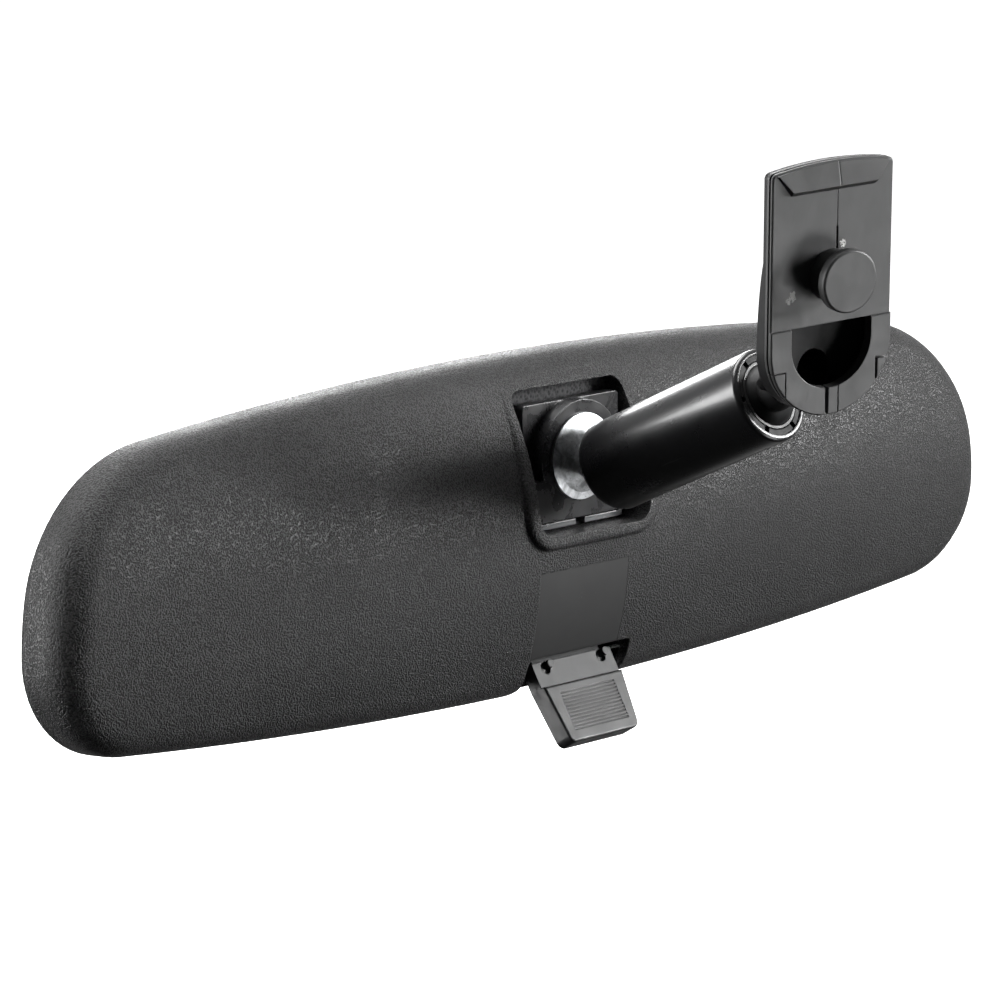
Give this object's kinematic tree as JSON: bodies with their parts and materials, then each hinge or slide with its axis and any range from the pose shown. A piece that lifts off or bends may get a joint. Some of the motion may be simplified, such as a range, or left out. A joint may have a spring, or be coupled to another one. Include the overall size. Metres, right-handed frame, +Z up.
{
  "type": "interior rearview mirror",
  "caption": "Interior day/night mirror: long rounded case with a prism glass, short arm with a ball joint at each end, windshield plate with a round stud, and a flip tab.",
  "frame": {"origin": "middle of the flat end of the locating stud on the mounting plate", "axes": "+X along the mirror, -Y towards the windshield, +Z up; the plate's face leans with the windshield"},
  "size_m": [0.2444, 0.0866, 0.1134],
  "materials": {
    "grained_plastic": "fine moulded grain, charcoal",
    "bezel_plastic": "fine moulded grain, charcoal",
    "satin_plastic": "satin moulded, dark grey",
    "gloss_black": "gloss black paint",
    "black_plastic": "semi-gloss moulded, black",
    "grey_link": "glossy moulded, grey",
    "cast_zinc": "bright as-cast zinc alloy",
    "steel": "bright steel",
    "spring_steel": "oiled spring steel",
    "liner_plastic": "greased black acetal",
    "foam": "thin black foam",
    "prism_glass": "clear ground wedge",
    "silvering": "silvered"
  },
  "bodies": {
    "mount": {"mount_plate": "satin_plastic", "locating_boss": "satin_plastic", "mount_rear_cover": "black_plastic", "mount_ball_stud": "gloss_black", "stud_screw": "steel", "mount_spring_clip": "spring_steel"},
    "upper_liner": {"upper_ball_liner": "liner_plastic"},
    "upper_cup": {"upper_pressure_cup": "black_plastic"},
    "arm": {"arm_tube": "gloss_black", "upper_ball_seat": "black_plastic", "arm_spring": "spring_steel", "lower_pressure_cup": "black_plastic", "lower_ball_seat": "black_plastic"},
    "lower_liner": {"lower_ball_liner": "liner_plastic"},
    "bracket": {"mirror_ball_stud": "cast_zinc", "stud_washer": "steel", "toggle_plate": "black_plastic", "toggle_link": "grey_link"},
    "case": {"case_shell": "grained_plastic", "bezel_ring": "bezel_plastic", "prism_glass": "prism_glass", "mirror_silvering": "silvering", "glass_backing_pad": "foam", "toggle_hinge_pin": "steel", "lever_pivot_pin": "steel", "detent_spring": "spring_steel"},
    "lever": {"day_night_lever": "satin_plastic"}
  },
  "joints": [
    {"name": "arm_swing", "type": "hinge", "parent": "mount", "child": "upper_liner", "pos_m": [0.00933, 0.02794, -0.02418], "axis": [0, 0, 1], "range_deg": [-12, 12]},
    {"name": "arm_tilt", "type": "hinge", "parent": "upper_liner", "child": "upper_cup", "pos_m": [0.00933, 0.02794, -0.02418], "axis": [1, 0, 0], "range_deg": [-10, 10]},
    {"name": "arm_twist", "type": "hinge", "parent": "upper_cup", "child": "arm", "pos_m": [0.00933, 0.02794, -0.02418], "axis": [0, -0.908, 0.419], "range_deg": [-15, 15]},
    {"name": "mirror_pan", "type": "hinge", "parent": "arm", "child": "lower_liner", "pos_m": [0.00933, 0.06108, -0.03947], "axis": [0, 0, 1], "range_deg": [-12, 12]},
    {"name": "mirror_tilt", "type": "hinge", "parent": "lower_liner", "child": "bracket", "pos_m": [0.00933, 0.06108, -0.03947], "axis": [1, 0, 0], "range_deg": [-8, 8]},
    {"name": "day_night_flip", "type": "hinge", "parent": "bracket", "child": "case", "pos_m": [0.00933, 0.07678, -0.03117], "axis": [1, 0, 0], "range_deg": [0, 5]},
    {"name": "lever_swing", "type": "hinge", "parent": "case", "child": "lever", "pos_m": [0.00933, 0.07698, -0.07427], "axis": [1, 0, 0], "range_deg": [0, 38]}
  ],
  "couplings": [
    {"joint": "lever_swing", "follows": "day_night_flip", "ratio": 7.6}
  ]
}
